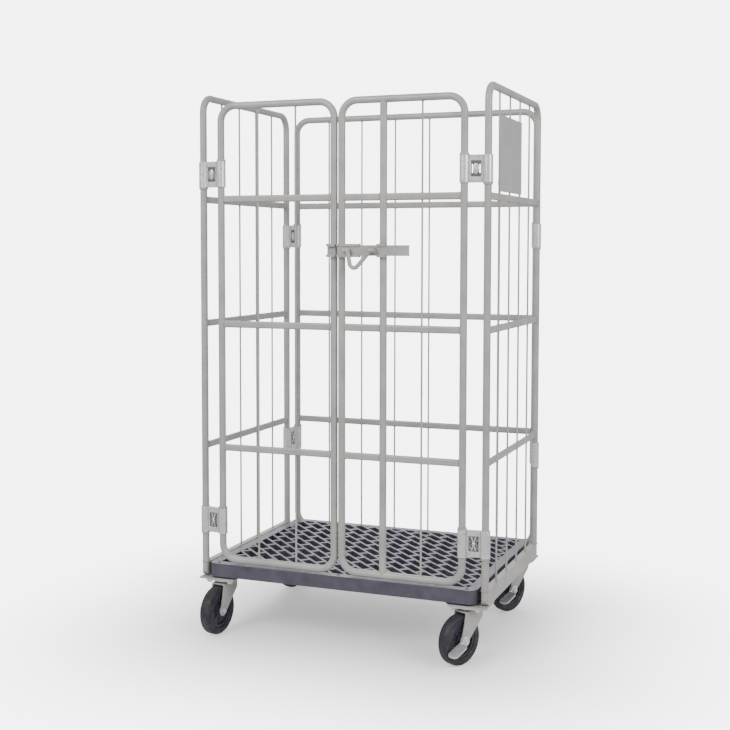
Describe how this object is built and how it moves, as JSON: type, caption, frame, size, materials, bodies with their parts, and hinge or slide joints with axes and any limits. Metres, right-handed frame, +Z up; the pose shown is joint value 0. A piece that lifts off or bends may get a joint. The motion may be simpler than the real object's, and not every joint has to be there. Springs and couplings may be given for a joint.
{
  "type": "roll cage container",
  "caption": "Tall wire-infilled tube cage on swivel castors, with a moulded lattice deck, hinged side panels and a two-leaf latched front door.",
  "frame": {"origin": "on the floor, under the middle of the whole object at rest", "axes": "+Z up, +X to the right as seen from the doors, and the doors face -Y"},
  "size_m": [0.9486, 0.7926, 1.7],
  "materials": {
    "paint": "satin",
    "zinc": "satin",
    "deck_resin": "matte",
    "pad_rubber": "matte",
    "tyre_rubber": "matte",
    "hub_plastic": "satin",
    "plate_sheet": "satin"
  },
  "bodies": {
    "back_panel": {"back_frame": "paint", "back_rails": "paint", "back_wires": "paint", "deck": "deck_resin", "deck_pads": "pad_rubber", "deck_straps": "zinc"},
    "left_rear_clip": {"left_rear_clips": "zinc", "left_rear_rivets": "zinc"},
    "left_side": {"left_frame": "paint", "left_rails": "paint", "left_wires": "paint", "left_beam": "paint", "left_mount_plates": "paint", "left_castor_tops": "zinc", "left_plate_bolts": "zinc"},
    "left_front_clip": {"left_front_clips": "zinc", "left_front_rivets": "zinc"},
    "left_door": {"left_door_frame": "paint", "left_door_rails": "paint", "left_door_wires": "paint", "latch_keeper": "paint"},
    "right_rear_clip": {"right_rear_clips": "zinc", "right_rear_rivets": "zinc"},
    "right_side": {"right_frame": "paint", "right_rails": "paint", "right_wires": "paint", "right_beam": "paint", "right_mount_plates": "paint", "right_castor_tops": "zinc", "right_plate_bolts": "zinc", "notice_plate": "plate_sheet"},
    "right_front_clip": {"right_front_clips": "zinc", "right_front_rivets": "zinc"},
    "right_door": {"right_door_frame": "paint", "right_door_rails": "paint", "right_door_wires": "paint", "right_door_tube": "paint", "latch_guides": "paint"},
    "latch_slider": {"latch_bolt": "paint"},
    "latch_pull": {"latch_handle": "paint"},
    "front_left_castor": {"front_left_fork": "paint", "front_left_axle": "zinc"},
    "front_left_wheel": {"front_left_tyre": "tyre_rubber", "front_left_hub": "hub_plastic"},
    "front_right_castor": {"front_right_fork": "paint", "front_right_axle": "zinc"},
    "front_right_wheel": {"front_right_tyre": "tyre_rubber", "front_right_hub": "hub_plastic"},
    "rear_left_castor": {"rear_left_fork": "paint", "rear_left_axle": "zinc"},
    "rear_left_wheel": {"rear_left_tyre": "tyre_rubber", "rear_left_hub": "hub_plastic"},
    "rear_right_castor": {"rear_right_fork": "paint", "rear_right_axle": "zinc"},
    "rear_right_wheel": {"rear_right_tyre": "tyre_rubber", "rear_right_hub": "hub_plastic"},
    "front_right_brake": {"front_right_pedal": "zinc"},
    "rear_right_brake": {"rear_right_pedal": "zinc"}
  },
  "joints": [
    {"name": "right_rear_clip_turn", "type": "hinge", "parent": "back_panel", "child": "right_rear_clip", "pos_m": [0.443, 0.379, 0.9], "axis": [0, 0, -1], "range_deg": [-165, 0]},
    {"name": "right_side_swing", "type": "hinge", "parent": "right_rear_clip", "child": "right_side", "pos_m": [0.46, 0.322, 0.9], "axis": [0, 0, -1], "range_deg": [-105, 0]},
    {"name": "right_front_clip_turn", "type": "hinge", "parent": "right_side", "child": "right_front_clip", "pos_m": [0.46, -0.29, 0.9], "axis": [0, 0, 1], "range_deg": [0, 170]},
    {"name": "right_door_swing", "type": "hinge", "parent": "right_front_clip", "child": "right_door", "pos_m": [0.3925, -0.301, 0.9], "axis": [0, 0, 1], "range_deg": [0, 100]},
    {"name": "left_rear_clip_turn", "type": "hinge", "parent": "back_panel", "child": "left_rear_clip", "pos_m": [-0.443, 0.379, 0.9], "axis": [0, 0, -1], "range_deg": [0, 165]},
    {"name": "left_side_swing", "type": "hinge", "parent": "left_rear_clip", "child": "left_side", "pos_m": [-0.46, 0.322, 0.9], "axis": [0, 0, -1], "range_deg": [0, 105]},
    {"name": "left_front_clip_turn", "type": "hinge", "parent": "left_side", "child": "left_front_clip", "pos_m": [-0.46, -0.29, 0.9], "axis": [0, 0, 1], "range_deg": [-170, 0]},
    {"name": "left_door_swing", "type": "hinge", "parent": "left_front_clip", "child": "left_door", "pos_m": [-0.3925, -0.301, 0.9], "axis": [0, 0, 1], "range_deg": [-100, 0]},
    {"name": "latch_slide", "type": "slide", "parent": "right_door", "child": "latch_slider", "axis": [-1, 0, 0], "range_m": [0, 0.03]},
    {"name": "latch_pull_lift", "type": "hinge", "parent": "latch_slider", "child": "latch_pull", "pos_m": [0.079, -0.331, 1.213], "axis": [1, 0, 0], "range_deg": [-90, 0]},
    {"name": "front_left_swivel", "type": "hinge", "parent": "left_side", "child": "front_left_castor", "pos_m": [-0.405, -0.269, 0.16], "axis": [0, 0, 1], "continuous": true},
    {"name": "front_left_spin", "type": "hinge", "parent": "front_left_castor", "child": "front_left_wheel", "pos_m": [-0.41012, -0.31069, 0.075], "axis": [0.9925, -0.1219, 0], "continuous": true},
    {"name": "front_right_swivel", "type": "hinge", "parent": "right_side", "child": "front_right_castor", "pos_m": [0.405, -0.269, 0.16], "axis": [0, 0, 1], "continuous": true},
    {"name": "front_right_spin", "type": "hinge", "parent": "front_right_castor", "child": "front_right_wheel", "pos_m": [0.38659, -0.30675, 0.075], "axis": [0.8988, -0.4384, 0], "continuous": true},
    {"name": "front_right_brake_press", "type": "hinge", "parent": "front_right_castor", "child": "front_right_brake", "pos_m": [0.38659, -0.30675, 0.075], "axis": [0.8988, -0.4384, 0], "range_deg": [0, 12]},
    {"name": "rear_left_swivel", "type": "hinge", "parent": "left_side", "child": "rear_left_castor", "pos_m": [-0.405, 0.301, 0.16], "axis": [0, 0, 1], "continuous": true},
    {"name": "rear_left_spin", "type": "hinge", "parent": "rear_left_castor", "child": "rear_left_wheel", "pos_m": [-0.41012, 0.25931, 0.075], "axis": [0.9925, -0.1219, 0], "continuous": true},
    {"name": "rear_right_swivel", "type": "hinge", "parent": "right_side", "child": "rear_right_castor", "pos_m": [0.405, 0.301, 0.16], "axis": [0, 0, 1], "continuous": true},
    {"name": "rear_right_spin", "type": "hinge", "parent": "rear_right_castor", "child": "rear_right_wheel", "pos_m": [0.38659, 0.26325, 0.075], "axis": [0.8988, -0.4384, 0], "continuous": true},
    {"name": "rear_right_brake_press", "type": "hinge", "parent": "rear_right_castor", "child": "rear_right_brake", "pos_m": [0.38659, 0.26325, 0.075], "axis": [0.8988, -0.4384, 0], "range_deg": [0, 12]}
  ]
}
